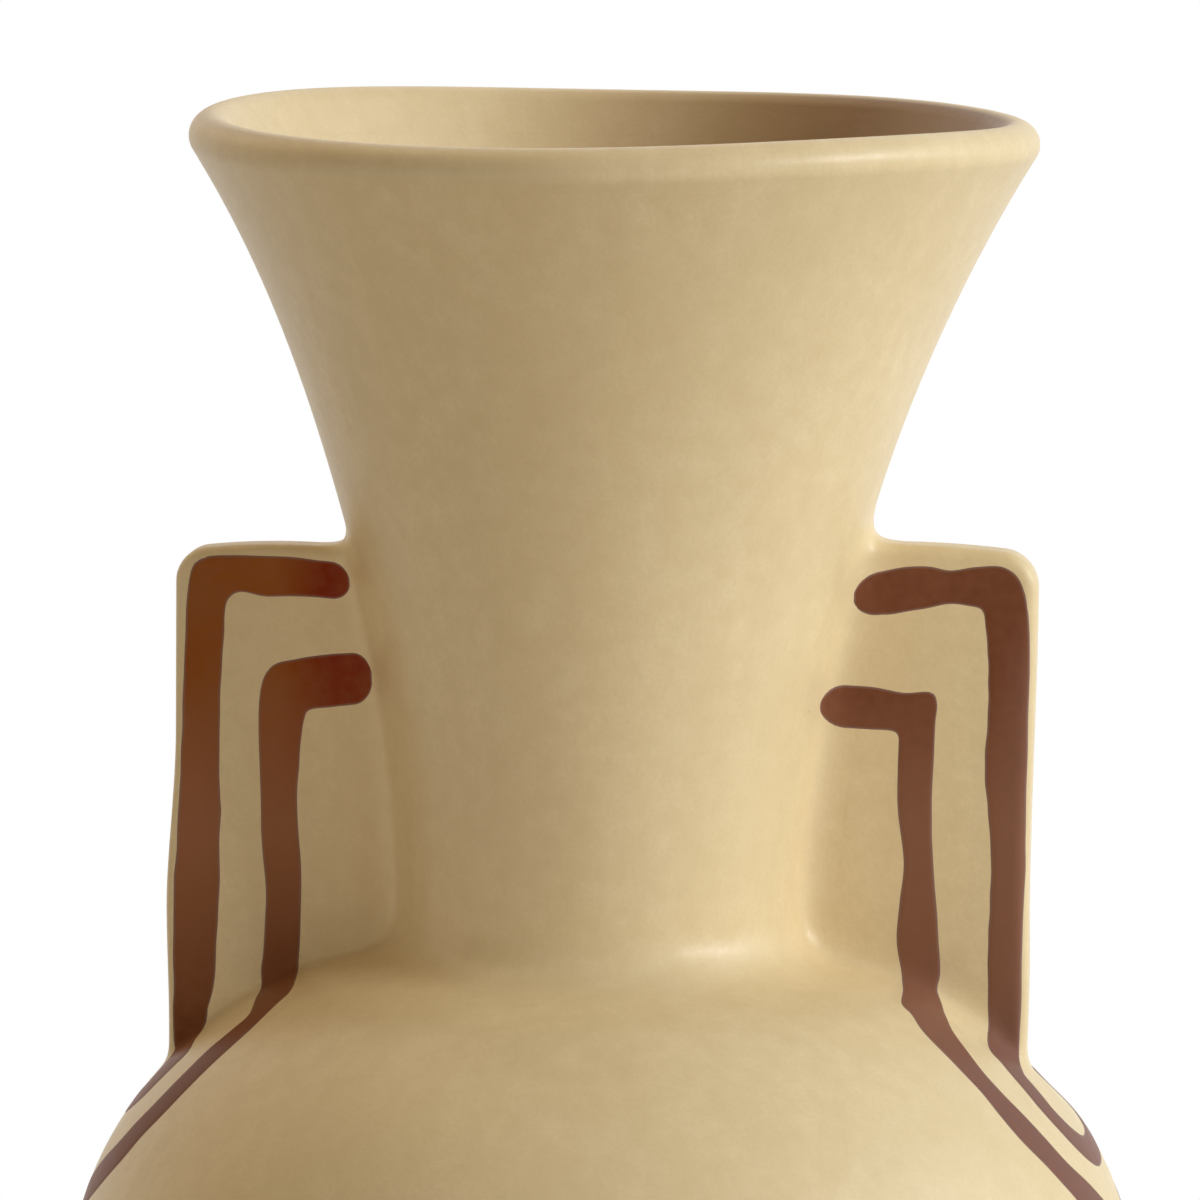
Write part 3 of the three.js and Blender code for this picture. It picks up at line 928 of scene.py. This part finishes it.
seed = 1
for handle in HANDLES:
    name = handle.name
    corners = (HANDLE_LOW, HANDLE_HIGH)
    if handle.side < 0:
        corners = (HANDLE_HIGH * [-1, -1, 1], HANDLE_LOW * [-1, -1, 1])
        corners = (np.minimum(*corners), np.maximum(*corners))
    clay("glazed_handle_" + name, netted(handle.core, *corners), "handle_" + name)
    for face_name, face in (("front", -1), ("back", 1)):
        where = name + "_" + face_name
        shape = netted(lambda p: handle.coil(p, face), *corners)
        clay("glazed_coil_" + where, shape, "luting_coil_" + where)
    for ring in ("outer", "inner"):
        points, edge, joints = stroke(handle, *STROKES[ring, name], seed)
        ends = [0, *joints, len(points) - 1]
        where = ring + "_" + name
        nodes = ["band_" + where + "_front", "stripe_" + where, "band_" + where + "_back"]
        for node, begin, end in zip(nodes, ends, ends[1:]):
            part = slice(begin, end + 1)
            vertices, faces, depth, walls = glaze_skin(points[part], edge[part], handle.surface)
            piece("painted_" + node, vertices, faces, BROWN, "brown_glaze", [node], depth, walls)
        seed += 1


# Floor: a pale disc that fades to white at its rim, in metres
FLOOR_RADIUS = 0.44
FLOOR_FADE = (0.22, 0.42)
FLOOR_SIDES = 96


def floor():
    s = Shader("floor")
    s.set("Base Color", FLOOR_COLOUR)
    s.set("Roughness", 0.8)
    away = s.add("ShaderNodeVectorMath", {0: s.place}, operation="LENGTH").outputs["Value"]
    fade = s.spread(away, *FLOOR_FADE)
    white = s.add("ShaderNodeEmission", {"Color": WHITE, "Strength": 1}).outputs[0]
    share = s.times(fade, seen_as_white(s.tree))
    mixed = s.add("ShaderNodeMixShader", {0: share, 1: s.surface.outputs[0], 2: white}).outputs[0]
    s.tree.links.new(mixed, s.tree.nodes["Material Output"].inputs["Surface"])
    mesh = bpy.data.meshes.new("floor")
    turn = np.linspace(0, 2 * math.pi, FLOOR_SIDES, endpoint=False)
    corners = [(FLOOR_RADIUS * math.cos(a), FLOOR_RADIUS * math.sin(a), 0) for a in turn]
    mesh.from_pydata(corners, [], [list(range(FLOOR_SIDES))])
    mesh.materials.append(s.material)
    obj = bpy.data.objects.new("floor", mesh)
    bpy.context.scene.collection.objects.link(obj)


floor()


# World: a white background, dim and warm as a light
WORLD_COLOUR = (1, 0.8, 0.72, 1)
WORLD_STRENGTH = 0.09


def world():
    made = bpy.data.worlds.new("studio")
    bpy.context.scene.world = made
    made.use_nodes = True
    tree = made.node_tree
    dim = tree.nodes["Background"]
    dim.inputs["Color"].default_value = WORLD_COLOUR
    dim.inputs["Strength"].default_value = WORLD_STRENGTH
    white = tree.nodes.new("ShaderNodeBackground")
    white.inputs["Color"].default_value = WHITE
    mixed = tree.nodes.new("ShaderNodeMixShader")
    tree.links.new(seen_as_white(tree), mixed.inputs[0])
    tree.links.new(dim.outputs[0], mixed.inputs[1])
    tree.links.new(white.outputs[0], mixed.inputs[2])
    tree.links.new(mixed.outputs[0], tree.nodes["World Output"].inputs["Surface"])


world()


# Camera
CAMERA_DISTANCE = 1500
CAMERA_TURN = math.radians(6)
CAMERA_HEIGHT = 417
CAMERA_ROLL = math.radians(0.5)
CAMERA_LENS = 269.75
CAMERA_SENSOR = 36
AIM_SIDE = -1.25
AIM_HEIGHT = 223.3


def camera():
    side = np.array([math.cos(CAMERA_TURN), math.sin(CAMERA_TURN), 0])
    back = np.array([math.sin(CAMERA_TURN), -math.cos(CAMERA_TURN), 0])
    place = CAMERA_DISTANCE * back + [0, 0, CAMERA_HEIGHT]
    ahead = AIM_SIDE * side + [0, 0, AIM_HEIGHT] - place
    ahead /= np.linalg.norm(ahead)
    right = np.cross(ahead, [0, 0, 1])
    right /= np.linalg.norm(right)
    up = np.cross(right, ahead)
    rolled = math.cos(CAMERA_ROLL) * right + math.sin(CAMERA_ROLL) * up
    upright = math.cos(CAMERA_ROLL) * up - math.sin(CAMERA_ROLL) * right
    data = bpy.data.cameras.new("camera")
    data.lens = CAMERA_LENS
    data.sensor_width = CAMERA_SENSOR
    obj = bpy.data.objects.new("camera", data)
    turn = Matrix(np.stack([rolled, upright, -ahead], 1).tolist()).to_4x4()
    obj.matrix_world = Matrix.Translation((place * MM).tolist()) @ turn
    bpy.context.scene.collection.objects.link(obj)
    bpy.context.scene.camera = obj


camera()


# Lamps: azimuth from the camera's side towards +X, elevation, size in metres, power and colour
LAMP_DISTANCE = 1.7
LAMP_TARGET = np.array([0, 0, 0.2])


def lamp(name, azimuth, elevation, size, power, colour):
    data = bpy.data.lights.new(name, "AREA")
    data.shape = "RECTANGLE"
    data.size, data.size_y = size
    data.energy = power
    data.color = colour
    obj = bpy.data.objects.new(name, data)
    a, e = math.radians(azimuth), math.radians(elevation)
    back = np.array([math.sin(a) * math.cos(e), -math.cos(a) * math.cos(e), math.sin(e)])
    right = np.cross(-back, [0, 0, 1])
    right /= np.linalg.norm(right)
    up = np.cross(back, right)
    turn = Matrix(np.stack([right, up, back], 1).tolist()).to_4x4()
    obj.matrix_world = Matrix.Translation((LAMP_TARGET + LAMP_DISTANCE * back).tolist()) @ turn
    bpy.context.scene.collection.objects.link(obj)


lamp("window", 71, 21, (0.9, 0.35), 18.4, (0.97, 0.98, 1))
lamp("side_panel", 97, 21, (1.1, 1.3), 10.4, (0.76, 0.88, 1))
lamp("front_fill", 22, -16, (1.6, 0.7), 4.15, (1, 0.96, 0.9))
lamp("left_fill", -50, -10, (1.6, 0.7), 4.4, (1, 0.9, 0.72))
lamp("ceiling", -100, 76, (1.1, 1.3), 3.5, (1, 0.79, 0.47))
lamp("warm_bounce", -120, 45, (1.1, 1.3), 5.8, (1, 0.76, 0.42))
lamp("back_fill", 175, 45, (1.2, 1.2), 1.5, (1, 0.96, 0.9))

bpy.context.scene.view_settings.view_transform = "Standard"
